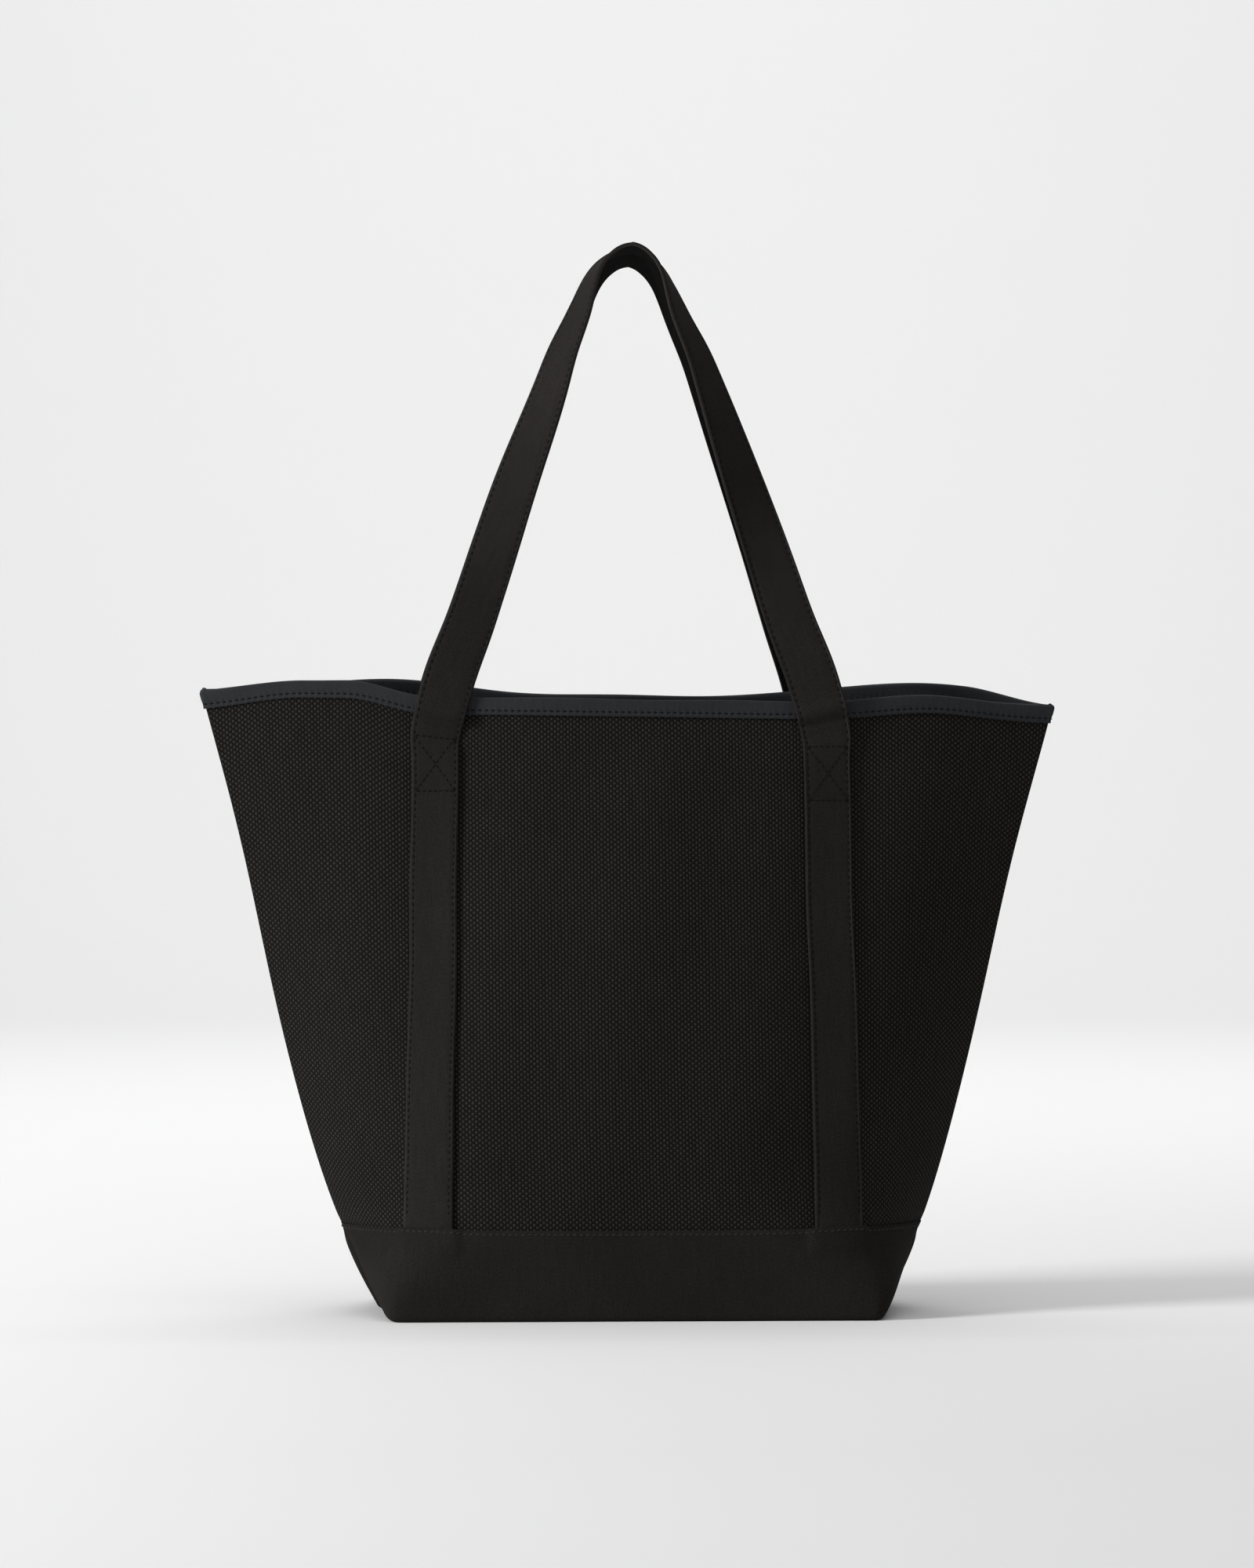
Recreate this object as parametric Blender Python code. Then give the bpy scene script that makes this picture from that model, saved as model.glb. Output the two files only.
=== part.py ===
"""Canvas tote bag: two coarse canvas panels, a smooth canvas band round the foot, bound rim,
a strap sewn up each face, and two handle loops that swing on the top line of their cross stitching.

Frame: metres, +Z up, +X along the mouth, the front face towards -Y. The origin is under the middle
of the base, on the surface that the bag stands on.
"""
import math

import bmesh
import bpy
from mathutils import Vector

# Overall sizes of the bag
BAG_HEIGHT = 0.390          # floor to the top of the bound rim
MOUTH_LENGTH = 0.544        # side seam to side seam along the rim
MOUTH_OPENING = 0.066       # front panel to back panel at the middle of the rim
BASE_LENGTH = 0.316         # side to side, over the main canvas
BASE_DEPTH = 0.180          # front to back, over the main canvas
TOTAL_HEIGHT = 0.673        # floor to the top of a raised handle

# Shape of the walls between the base and the rim
SIDE_TUCK = 0.0185          # how far the boxed corners pull the side seams in at the base
TUCK_HEIGHT = 0.042         # height over which that pull dies away
WALL_BULGE = 0.005          # how far the front and back belly out at half height
RIM_POWER = 2.0             # the rim is two arcs that meet at the side seams
BODY_POWER = 2.6            # extra squareness of the section towards the base
BASE_POWER = 25.0           # squareness of the boxed base alone
BASE_POWER_HEIGHT = 0.022
BASE_ROUND = 0.005          # rounding where the walls turn under the base

# Cloths
CANVAS = 0.0015             # main canvas
BAND_CLOTH = 0.0012         # smooth canvas of the foot band
TAPE_CLOTH = 0.0007         # binding tape of the rim and of the inside seams
STRAP_CLOTH = 0.0026        # folded and stitched strap
CLEARANCE = 0.0003          # between cloths that touch
STRAP_STANDOFF = 0.0008     # strap over the curved panel

# Foot band, rim binding and inside bindings
BAND_HEIGHT = 0.056
BINDING_WIDTH = 0.010
SEAM_BINDING_WIDTH = 0.011
CORNER_BINDING_HEIGHT = 0.010
CORNER_BINDING_MARGIN = 0.030      # from each end of the binding to the face of the bag
CORNER_BINDING_SETBACK = 0.0012

# Straps, handles and cross stitching
STRAP_WIDTH = 0.030
STRAP_SPACING = 0.244       # between the middles of the two legs of one strap
HINGE_DROP = 0.026          # rim down to the line that the handle swings on
BEND_RADIUS = 0.027         # middle of the strap at the top of the handle
APEX_GAP = 0.004            # between the two handles at their tops
TWIST_START = 0.27          # share of the half loop that stays flat to the bag
TWIST_AT_TOP = math.radians(100.0)
CROSS_WIDTH = 0.023
CROSS_HEIGHT = 0.034
CROSS_DROP = 0.003          # swing line down to the top of the cross stitching
THREAD_WIDTH = 0.0012
THREAD_HEIGHT = 0.0006

# Fineness of the surfaces
COLUMNS = 32                # across one panel, seam to seam
ROWS = 12                   # up one panel
ROW_MERGE = 0.006           # a row this close to the edge of the band or binding gives way to it
ROUND_STEPS = 3
HANDLE_STEPS = 30           # along half of a handle
LEG_ROWS = 10
LEG_COLUMNS = 3

# Sizes that follow from the ones above
BAND_OFFSET = CLEARANCE + BAND_CLOTH
BINDING_OFFSET = CLEARANCE + TAPE_CLOTH
CANVAS_BOTTOM = BAND_OFFSET
SEAM_HALF = CANVAS + BINDING_OFFSET + CLEARANCE / 2
HINGE_HEIGHT = BAG_HEIGHT - HINGE_DROP


def make_material(name, colour, roughness):
    material = bpy.data.materials.new(name)
    material.use_nodes = True
    shader = material.node_tree.nodes["Principled BSDF"]
    shader.inputs["Base Color"].default_value = (*colour, 1.0)
    shader.inputs["Roughness"].default_value = roughness
    shader.inputs["Metallic"].default_value = 0.0
    return material


def half_length(height):
    """Half the length of the bag at a height, over the main canvas."""
    foot = BASE_LENGTH / 2 + SIDE_TUCK
    share = height / BAG_HEIGHT
    straight = foot + (MOUTH_LENGTH / 2 - foot) * share
    return straight - SIDE_TUCK * math.exp(-height / TUCK_HEIGHT)


def half_depth(height):
    """Half the depth of the bag at a height, over the main canvas."""
    share = height / BAG_HEIGHT
    straight = (BASE_DEPTH + (MOUTH_OPENING - BASE_DEPTH) * share) / 2
    return straight + WALL_BULGE * math.sin(math.pi * share)


def section_power(height):
    """Squareness of the section: two arcs at the rim, a rounded rectangle at the base."""
    share = height / BAG_HEIGHT
    boxed = BASE_POWER * math.exp(-height / BASE_POWER_HEIGHT)
    return RIM_POWER + BODY_POWER * (1 - share) + boxed


def front_point(share, height, offset=0.0, inset=0.0):
    """Point on the front half of the wall. Share runs from -1 at the left seam to 1 at the right;
    offset is the distance outside the main canvas, and inset pulls the rounded foot in."""
    length = half_length(height) + offset - inset
    belly = half_depth(height) - SEAM_HALF - inset
    depth = SEAM_HALF + offset + belly * (1 - abs(share) ** section_power(height))
    return Vector((share * length, -depth, height))


def row_heights():
    """Heights of the rows that every layer of the walls shares, closer together near the base."""
    edges = [BAND_HEIGHT, BAG_HEIGHT - BINDING_WIDTH]
    rungs = [BAG_HEIGHT * (row / ROWS) ** 1.6 for row in range(1, ROWS)]
    clear = [height for height in rungs if min(abs(height - edge) for edge in edges) > ROW_MERGE]
    return sorted(clear + edges)


def profile(offset, top):
    """Heights and insets of a wall layer, from its flat underside up to a top height."""
    radius = BASE_ROUND + offset
    bottom = CANVAS_BOTTOM - offset
    steps = []
    for step in range(ROUND_STEPS):
        turn = 0.5 * math.pi * step / ROUND_STEPS
        steps.append((bottom + radius * (1 - math.cos(turn)), radius * (1 - math.sin(turn))))
    steps.append((bottom + radius, 0.0))
    steps += [(height, 0.0) for height in row_heights() if bottom + radius < height < top]
    steps.append((top, 0.0))
    return steps


def column_shares():
    """Shares across the front, left seam to right seam, closer together near the seams."""
    return [math.sin(0.5 * math.pi * (2 * column / COLUMNS - 1)) for column in range(COLUMNS + 1)]


def add_node(name, mesh_builder, material, smooth_angle=40.0):
    """Make one named solid from a bmesh, with its normals out and its round faces smooth.
    Faces are split along their shorter diagonal, so that layers lying on each other stay parallel."""
    bmesh.ops.triangulate(mesh_builder, faces=mesh_builder.faces, quad_method="SHORT_EDGE")
    bmesh.ops.recalc_face_normals(mesh_builder, faces=mesh_builder.faces)
    mesh = bpy.data.meshes.new(name)
    mesh_builder.to_mesh(mesh)
    mesh_builder.free()
    mesh.shade_smooth()
    mesh.set_sharp_from_angle(angle=math.radians(smooth_angle))
    node = bpy.data.objects.new(name, mesh)
    bpy.context.scene.collection.objects.link(node)
    mesh.materials.append(material)
    return node


def bridge_rings(rings, closed=False, caps=None):
    """Solid whose cross-sections are the given rings of points, capped at both ends unless closed.
    Caps gives the faces of an end as places in its ring, for a section that isn't convex."""
    builder = bmesh.new()
    loops = [[builder.verts.new(point) for point in ring] for ring in rings]
    pairs = list(zip(loops, loops[1:]))
    if closed:
        pairs.append((loops[-1], loops[0]))
    for near, far in pairs:
        for index, vertex in enumerate(near):
            following = (index + 1) % len(near)
            builder.faces.new((vertex, near[following], far[following], far[index]))
    if not closed:
        for face in caps or [range(len(rings[0]))]:
            builder.faces.new([loops[0][place] for place in face])
            builder.faces.new([loops[-1][place] for place in face])
    return builder


def mirror_copy(node, name, axis):
    """The same solid on the other side of the bag, as its own mesh."""
    mesh = node.data.copy()
    mesh.name = name
    builder = bmesh.new()
    builder.from_mesh(mesh)
    for vertex in builder.verts:
        vertex.co[axis] = -vertex.co[axis]
    bmesh.ops.reverse_faces(builder, faces=builder.faces)
    builder.to_mesh(mesh)
    builder.free()
    copy = bpy.data.objects.new(name, mesh)
    bpy.context.scene.collection.objects.link(copy)
    return copy


def build_panels(material):
    """Front and back panel: each wraps half of both sides, seam to seam, under the rim binding."""
    top = BAG_HEIGHT - BINDING_OFFSET
    outer = profile(0.0, top)
    inner = profile(-CANVAS, top)
    rings = []
    for share in column_shares():
        ring = [front_point(share, height, 0.0, inset) for height, inset in outer]
        ring += [front_point(share, height, -CANVAS, inset) for height, inset in reversed(inner)]
        rings.append(ring)
    front = add_node("front_panel", bridge_rings(rings), material)
    mirror_copy(front, "back_panel", 1)


def girth(height, offset, inset):
    """Closed loop right round the bag at one height."""
    front = [front_point(share, height, offset, inset) for share in column_shares()]
    back = [Vector((point.x, -point.y, point.z)) for point in reversed(front)]
    return front + back


def build_base(material):
    """Inner canvas of the base, between the turned-under feet of the walls."""
    height, inset = profile(0.0, BAG_HEIGHT)[0]
    low = girth(height, 0.0, inset + CLEARANCE)
    height, inset = profile(-CANVAS, BAG_HEIGHT)[0]
    high = girth(height, -CANVAS, inset + CLEARANCE)
    add_node("base_panel", bridge_rings([low, high]), material)


def build_band(material):
    """Foot band: a tray of smooth canvas over the base and the lowest part of the walls."""
    loops = [girth(height, BAND_OFFSET, inset) for height, inset in profile(BAND_OFFSET, BAND_HEIGHT)]
    inside = profile(CLEARANCE, BAND_HEIGHT)
    loops += [girth(height, CLEARANCE, inset) for height, inset in reversed(inside)]
    add_node("bottom_band", bridge_rings(loops), material)


def build_rim_bindings(material):
    """Binding tape folded over the raw top edge of each panel."""
    low = BAG_HEIGHT - BINDING_WIDTH
    canvas_top = BAG_HEIGHT - BINDING_OFFSET + CLEARANCE
    inside = -CANVAS - CLEARANCE
    corners = (
        (low, BINDING_OFFSET),
        (BAG_HEIGHT, BINDING_OFFSET),
        (BAG_HEIGHT, inside - TAPE_CLOTH),
        (low, inside - TAPE_CLOTH),
        (low, inside),
        (canvas_top, inside),
        (canvas_top, CLEARANCE),
        (low, CLEARANCE),
    )
    rings = []
    for share in column_shares():
        rings.append([front_point(share, height, offset) for height, offset in corners])
    caps = [(0, 1, 6, 7), (1, 2, 5, 6), (2, 3, 4, 5)]
    front = add_node("front_rim_binding", bridge_rings(rings, caps=caps), material)
    mirror_copy(front, "back_rim_binding", 1)


def build_side_seam_bindings(material):
    """Bound seam allowance inside each side seam, held between the edges of the two panels."""
    half_thickness = SEAM_HALF - CANVAS - CLEARANCE
    low = CANVAS_BOTTOM + CANVAS + CLEARANCE + CORNER_BINDING_HEIGHT + CLEARANCE
    high = BAG_HEIGHT - BINDING_WIDTH - CLEARANCE
    rings = []
    for row in range(ROWS + 1):
        height = low + (high - low) * row / ROWS
        outer = half_length(height) - CANVAS / 2
        inner = outer - SEAM_BINDING_WIDTH
        rings.append([
            Vector((outer, -half_thickness, height)),
            Vector((outer, half_thickness, height)),
            Vector((inner, half_thickness, height)),
            Vector((inner, -half_thickness, height)),
        ])
    right = add_node("right_seam_binding", bridge_rings(rings), material)
    mirror_copy(right, "left_seam_binding", 0)


def build_corner_bindings(material):
    """Bound seam across each boxed corner, standing inside the short edge of the base."""
    low = CANVAS_BOTTOM + CANVAS + CLEARANCE
    half = BASE_DEPTH / 2 - CORNER_BINDING_MARGIN
    end_share = (1 - half / (half_depth(low) - SEAM_HALF)) ** (1 / section_power(low))
    outer = half_length(low) * end_share - BASE_ROUND - CORNER_BINDING_SETBACK
    inner = outer - 2 * TAPE_CLOTH
    rings = []
    for height in (low, low + CORNER_BINDING_HEIGHT):
        rings.append([
            Vector((outer, -half, height)),
            Vector((outer, half, height)),
            Vector((inner, half, height)),
            Vector((inner, -half, height)),
        ])
    right = add_node("right_corner_binding", bridge_rings(rings), material)
    mirror_copy(right, "left_corner_binding", 0)


def face_point(across, height, standoff):
    """Point over the front face at a distance across from the middle, moved out square to it."""
    share = across / half_length(height)
    point = front_point(share, height)
    step = 0.002
    upper = front_point(across / half_length(height + step), height + step)
    beside = front_point((across + step) / half_length(height), height)
    outward = (beside - point).cross(upper - point).normalized()
    return point + outward * standoff


def build_strap_legs(material):
    """Lower part of each strap, stitched flat to its panel from the band up to the swing line."""
    low = BAND_HEIGHT + CLEARANCE
    high = HINGE_HEIGHT - CLEARANCE / 2
    rings = []
    for row in range(LEG_ROWS + 1):
        height = low + (high - low) * row / LEG_ROWS
        ring = []
        for column in range(LEG_COLUMNS + 1):
            across = STRAP_SPACING / 2 + STRAP_WIDTH * (column / LEG_COLUMNS - 0.5)
            ring.append(face_point(across, height, STRAP_STANDOFF + STRAP_CLOTH))
        for column in range(LEG_COLUMNS, -1, -1):
            across = STRAP_SPACING / 2 + STRAP_WIDTH * (column / LEG_COLUMNS - 0.5)
            ring.append(face_point(across, height, STRAP_STANDOFF))
        for point in ring:
            point.z = height
        rings.append(ring)
    front_right = add_node("front_right_strap", bridge_rings(rings), material)
    front_left = mirror_copy(front_right, "front_left_strap", 0)
    mirror_copy(front_right, "back_right_strap", 1)
    mirror_copy(front_left, "back_left_strap", 1)


def hinge_depth():
    """Distance of the swing line in front of the middle plane, just proud of the strap legs."""
    edge = face_point(STRAP_SPACING / 2 - STRAP_WIDTH / 2, HINGE_HEIGHT, STRAP_STANDOFF + STRAP_CLOTH)
    return -edge.y + CLEARANCE / 2


def handle_path():
    """Middle line of the right half of a handle as (across, height, direction, share of length)."""
    rise = TOTAL_HEIGHT - STRAP_CLOTH / 2 - HINGE_HEIGHT
    reach = STRAP_SPACING / 2
    drop = rise - BEND_RADIUS
    lean = math.acos(BEND_RADIUS / math.hypot(reach, drop)) - math.atan2(drop, reach)
    straight = (drop + BEND_RADIUS * math.sin(lean)) / math.cos(lean)
    arc = BEND_RADIUS * (0.5 * math.pi - lean)
    total = straight + arc
    path = []
    for step in range(HANDLE_STEPS + 1):
        gone = total * step / HANDLE_STEPS
        if gone <= straight:
            across = reach - gone * math.sin(lean)
            height = gone * math.cos(lean)
            turn = lean
        else:
            turn = lean + (gone - straight) / BEND_RADIUS
            across = BEND_RADIUS * math.cos(turn)
            height = drop + BEND_RADIUS * math.sin(turn)
        path.append((across, height, turn, gone / total))
    return path


def build_handles(material):
    """Handle loops: one length of strap, flat to the bag at its feet and turned over at the top."""
    near = hinge_depth() - CLEARANCE / 2 - STRAP_CLOTH / 2
    apex = STRAP_WIDTH / 2 + APEX_GAP / 2
    rise = TOTAL_HEIGHT - HINGE_HEIGHT
    sections = []
    for across, height, turn, share in handle_path():
        depth = near + (apex - near) * height / rise
        middle = Vector((across, -depth, HINGE_HEIGHT + height))
        inward = Vector((-math.cos(turn), 0, -math.sin(turn)))
        front = Vector((0, -1, 0))
        twist = TWIST_AT_TOP * max(0.0, (share - TWIST_START) / (1 - TWIST_START))
        face = front * math.cos(twist) - inward * math.sin(twist)
        width = inward * math.cos(twist) + front * math.sin(twist)
        sections.append((middle, width, face))
    foot, _, face = sections[0]
    foot = Vector((foot.x, foot.y, foot.z + CLEARANCE / 2))
    sections[0] = (foot, Vector((-1, 0, 0)), face)
    rings = []
    for middle, width, face in sections:
        side = width * (STRAP_WIDTH / 2)
        skin = face * (STRAP_CLOTH / 2)
        rings.append([middle - side + skin, middle + side + skin, middle + side - skin, middle - side - skin])
    # the left half is the mirror image, followed back down from the apex
    for ring in reversed(rings[:-1]):
        rings.append([Vector((-point.x, point.y, point.z)) for point in ring])
    front = add_node("front_handle", bridge_rings(rings), material)
    back = mirror_copy(front, "back_handle", 1)
    for node, side in ((front, -1), (back, 1)):
        axis = Vector((0, side * hinge_depth(), HINGE_HEIGHT))
        for vertex in node.data.vertices:
            vertex.co -= axis
        node.location = axis


def thread_bar(builder, start, end):
    """One raised line of stitching between two points of the flat cross-stitch pattern."""
    along = (end - start).normalized()
    across = Vector((-along.y, along.x)) * (THREAD_WIDTH / 2)
    start = start - along * (THREAD_WIDTH / 2)
    end = end + along * (THREAD_WIDTH / 2)
    corners = [start + across, start - across, end - across, end + across]
    low = [builder.verts.new((corner.x, corner.y, 0.0)) for corner in corners]
    high = [builder.verts.new((corner.x, corner.y, THREAD_HEIGHT)) for corner in corners]
    builder.faces.new(low)
    builder.faces.new(high)
    for index in range(4):
        following = (index + 1) % 4
        builder.faces.new((low[index], low[following], high[following], high[index]))


def build_cross_stitches(material):
    """Boxed cross of stitching that fastens each strap below its handle, joined into one body."""
    half_width = CROSS_WIDTH / 2
    half_height = CROSS_HEIGHT / 2
    corners = [Vector((x * half_width, y * half_height)) for x, y in ((-1, -1), (1, -1), (1, 1), (-1, 1))]
    lines = [(corners[index], corners[(index + 1) % 4]) for index in range(4)]
    lines += [(corners[0], corners[2]), (corners[1], corners[3])]
    bars = []
    for start, end in lines:
        builder = bmesh.new()
        thread_bar(builder, start, end)
        bars.append(add_node("stitch_bar", builder, material))
    stitch = bars[0]
    for bar in bars[1:]:
        union = stitch.modifiers.new("union", "BOOLEAN")
        union.operation = "UNION"
        union.solver = "EXACT"
        union.object = bar
    bpy.context.view_layer.update()
    evaluated = stitch.evaluated_get(bpy.context.evaluated_depsgraph_get())
    mesh = bpy.data.meshes.new_from_object(evaluated)
    for bar in bars:
        bpy.data.objects.remove(bar)

    # wrap the flat pattern onto the strap, a clearance above its outer face
    centre = HINGE_HEIGHT - CROSS_DROP - half_height - THREAD_WIDTH / 2
    for vertex in mesh.vertices:
        standoff = STRAP_STANDOFF + STRAP_CLOTH + CLEARANCE + vertex.co.z
        vertex.co = face_point(STRAP_SPACING / 2 + vertex.co.x, centre + vertex.co.y, standoff)
    builder = bmesh.new()
    builder.from_mesh(mesh)
    front_right = add_node("front_right_cross_stitch", builder, material)
    front_left = mirror_copy(front_right, "front_left_cross_stitch", 0)
    mirror_copy(front_right, "back_right_cross_stitch", 1)
    mirror_copy(front_left, "back_left_cross_stitch", 1)


for scene_object in list(bpy.data.objects):
    bpy.data.objects.remove(scene_object)

body_canvas = make_material("body_canvas", (0.0185, 0.0165, 0.0155), 0.92)
band_canvas = make_material("band_canvas", (0.0180, 0.0160, 0.0145), 0.90)
strap_canvas = make_material("strap_canvas", (0.0200, 0.0175, 0.0165), 0.90)
binding_tape = make_material("binding_tape", (0.0245, 0.0250, 0.0270), 0.85)
sewing_thread = make_material("sewing_thread", (0.0160, 0.0170, 0.0190), 0.60)

build_panels(body_canvas)
build_base(body_canvas)
build_band(band_canvas)
build_rim_bindings(binding_tape)
build_side_seam_bindings(binding_tape)
build_corner_bindings(binding_tape)
build_strap_legs(strap_canvas)
build_handles(strap_canvas)
build_cross_stitches(sewing_thread)
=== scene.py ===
import math

import bpy
import numpy as np
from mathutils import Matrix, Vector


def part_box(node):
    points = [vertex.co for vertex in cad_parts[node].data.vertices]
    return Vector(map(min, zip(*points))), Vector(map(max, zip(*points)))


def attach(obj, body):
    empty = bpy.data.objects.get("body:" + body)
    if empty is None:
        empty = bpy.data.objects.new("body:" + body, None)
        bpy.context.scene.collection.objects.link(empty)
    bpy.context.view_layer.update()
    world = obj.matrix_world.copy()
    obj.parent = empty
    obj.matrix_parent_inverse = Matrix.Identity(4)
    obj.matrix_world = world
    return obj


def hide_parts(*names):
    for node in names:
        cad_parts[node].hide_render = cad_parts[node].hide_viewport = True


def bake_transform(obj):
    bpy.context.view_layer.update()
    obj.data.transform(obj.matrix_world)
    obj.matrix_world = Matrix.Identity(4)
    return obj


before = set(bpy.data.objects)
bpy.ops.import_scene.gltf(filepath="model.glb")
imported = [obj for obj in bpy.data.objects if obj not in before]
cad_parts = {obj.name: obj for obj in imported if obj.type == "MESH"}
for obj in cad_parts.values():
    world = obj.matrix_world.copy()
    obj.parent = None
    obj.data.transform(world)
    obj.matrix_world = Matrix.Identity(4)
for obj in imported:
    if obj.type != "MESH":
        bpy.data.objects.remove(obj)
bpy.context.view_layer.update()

# ---- Room ---------------------------------------------------------------------------------
# A pale floor that sweeps up behind the bag, and an even sky. A soft light stands on the left, a
# weak one in front, a wide one overhead, and one lights the sweep. The camera is at mid height.

CAMERA_DISTANCE = 3.7
CAMERA_TURN = math.radians(-2.8)
CAMERA_HEIGHT = 0.3331
VIEW_HEIGHT = 0.9952        # seen from top to bottom at the middle of the bag

camera = bpy.data.cameras.new("camera")
camera.sensor_width = 36.0
camera.lens = camera.sensor_width * CAMERA_DISTANCE / VIEW_HEIGHT
camera_object = bpy.data.objects.new("camera", camera)
bpy.context.scene.collection.objects.link(camera_object)
camera_object.location = (
    CAMERA_DISTANCE * math.sin(CAMERA_TURN) - 0.001,
    -CAMERA_DISTANCE * math.cos(CAMERA_TURN),
    CAMERA_HEIGHT,
)
camera_object.rotation_euler = (math.radians(90), 0, CAMERA_TURN)
bpy.context.scene.camera = camera_object
bpy.context.scene.view_settings.view_transform = "Standard"

world = bpy.data.worlds.new("studio")
world.use_nodes = True
sky = world.node_tree.nodes["Background"]
sky.inputs["Color"].default_value = (1.0, 1.0, 1.0, 1.0)
sky.inputs["Strength"].default_value = 0.25
bpy.context.scene.world = world


def soft_light(name, place, aim, size, power):
    """A square area light at a place, turned to the point that it aims at."""
    light = bpy.data.lights.new(name, "AREA")
    light.shape = "SQUARE"
    light.size = size
    light.energy = power
    lamp = bpy.data.objects.new(name, light)
    bpy.context.scene.collection.objects.link(lamp)
    lamp.location = place
    direction = np.array(aim) - np.array(place)
    flat = math.hypot(direction[0], direction[1])
    lamp.rotation_euler = (math.atan2(flat, -direction[2]), 0, math.atan2(-direction[0], direction[1]))


soft_light("key_light", (-3.05, -1.25, 1.6), (0, 0, 0.35), 0.9, 116)
soft_light("front_light", (0.6, -3.4, 1.8), (0, 0, 0.3), 1.6, 3)
soft_light("top_light", (0.3, -0.1, 3.6), (0.3, 0, 0), 3.0, 44)
soft_light("backdrop_light", (0.3, 2.2, 4.8), (0.3, 7.0, 1.8), 4.0, 222)

FLOOR_SIZE = 14.0
bpy.ops.object.select_all(action="DESELECT")
bpy.ops.mesh.primitive_plane_add(size=FLOOR_SIZE, location=(0, 0, 0))
floor = bpy.context.object
floor.name = "studio_floor"
bpy.ops.object.mode_set(mode="EDIT")
bpy.ops.mesh.select_all(action="DESELECT")
bpy.ops.object.mode_set(mode="OBJECT")
for edge in floor.data.edges:
    edge.select = all(floor.data.vertices[index].co.y > 0 for index in edge.vertices)
bpy.ops.object.mode_set(mode="EDIT")
bpy.ops.mesh.select_mode(type="EDGE")
bpy.ops.mesh.extrude_region_move(TRANSFORM_OT_translate={"value": (0, 0, FLOOR_SIZE / 2)})
bpy.ops.object.mode_set(mode="OBJECT")
bevel = floor.modifiers.new("sweep", "BEVEL")
bevel.width = 2.5
bevel.segments = 12
bpy.ops.object.modifier_apply(modifier="sweep")
bpy.ops.object.shade_smooth()
floor_paint = bpy.data.materials.new("pale_floor")
floor_paint.use_nodes = True
floor_shader = floor_paint.node_tree.nodes["Principled BSDF"]
floor_shader.inputs["Base Color"].default_value = (0.8, 0.8, 0.8, 1)
floor_shader.inputs["Roughness"].default_value = 0.9
floor.data.materials.append(floor_paint)

# ---- Front and back panels ----------------------------------------------------------------
# Two pieces of heavy plain-weave duck, each cut wider at the rim and wrapped half-way round both
# sides. Their side edges turn in at the side seams and their feet are boxed into a flat base.

CANVAS = 0.0012             # thickness of the duck
ROUND = 0.0018              # rounding where the walls turn under
SEAM_HALF = 0.0024          # half the width of the valley at a side seam
SEAM_TOUCH = 0.0005         # from the middle of the seam to the middle of one layer
SEAM_ALLOWANCE = 0.008
SHARES = 112                # columns of the wall shape from the middle to a seam
HEIGHTS = 150               # rows of the wall shape above its rounded foot
SIDE_TUCK = 0.0243          # how far the boxed corners pull the side seams in
TUCK_HEIGHT = 0.047         # height over which that pull dies away
WALL_BULGE = 0.005          # how far the faces belly out at half height

rim_low, rim_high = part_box("front_rim_binding")
panel_low, panel_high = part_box("front_panel")
RIM = rim_high[2]
CANVAS_TOP = RIM - 0.001    # raw edge of the canvas, inside the fold of the rim tape
BAND_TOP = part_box("bottom_band")[1][2]
FOOT = panel_low[2]
mouth_half = panel_high[0]
foot_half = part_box("base_panel")[1][0] - 0.0005
mouth_depth = -rim_low[1] - 0.0025
foot_depth = -panel_low[1]


def smooth(low, high, value):
    """Rises from 0 at low to 1 at high with level ends."""
    share = np.clip((value - low) / (high - low), 0, 1)
    return share * share * (3 - 2 * share)


def bump(middle, width, value):
    """A round hump, 1 high at its middle."""
    return np.exp(-(((value - middle) / width) ** 2))


def half_length(height):
    """Half the length of the bag at a height, seam to seam."""
    foot = foot_half + SIDE_TUCK
    straight = foot + (mouth_half - foot) * height / RIM
    # The sides are drawn in a little below the rim.
    hollow = 0.0012 * height / RIM + 0.0028 * bump(0.295, 0.085, height)
    return straight - SIDE_TUCK * np.exp(-height / TUCK_HEIGHT) - hollow


def half_depth(height):
    """Half the depth of the bag at a height, face to face."""
    share = height / RIM
    return foot_depth + (mouth_depth - foot_depth) * share + WALL_BULGE * np.sin(np.pi * share)


def squareness(height):
    """Power of the rounded plan: 2 is two arcs at the rim, a high one is the boxed base."""
    return 2.0 + 2.2 * (1 - height / RIM) + 130.0 * np.exp(-height / 0.0135)


def plan_curve(height, inset):
    """Half of the bag in plan at a height, left seam to right seam, with the turned-in edges."""
    turn = np.sin(0.5 * np.pi * np.linspace(-1, 1, 1201))
    length = half_length(height) - inset
    belly = half_depth(height) - SEAM_HALF - inset
    across = turn * length
    depth = -(SEAM_HALF + belly * (1 - np.abs(turn) ** squareness(height)))
    gone = np.concatenate([[0], np.cumsum(np.hypot(np.diff(across), np.diff(depth)))])
    even = np.linspace(0, gone[-1], 2 * SHARES + 1)
    main = np.stack([np.interp(even, gone, across), np.interp(even, gone, depth)], axis=1)
    step = main[-1] - main[-2]
    heading = math.atan2(step[1], step[0])
    radius = (SEAM_HALF - SEAM_TOUCH) / (1 + math.cos(heading))
    headings = np.linspace(heading, np.pi, 7)[1:]
    arc = main[-1] + radius * np.stack(
        [np.sin(headings) - math.sin(heading), math.cos(heading) - np.cos(headings)], axis=1)
    tucked = arc[-1] + np.outer([0.35, 0.7, 1.0], [-SEAM_ALLOWANCE, 0])
    edge = np.concatenate([arc, tucked])
    mirrored = edge[::-1] * [-1, 1]
    return np.concatenate([mirrored, main, edge]), gone[-1] / 2


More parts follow.
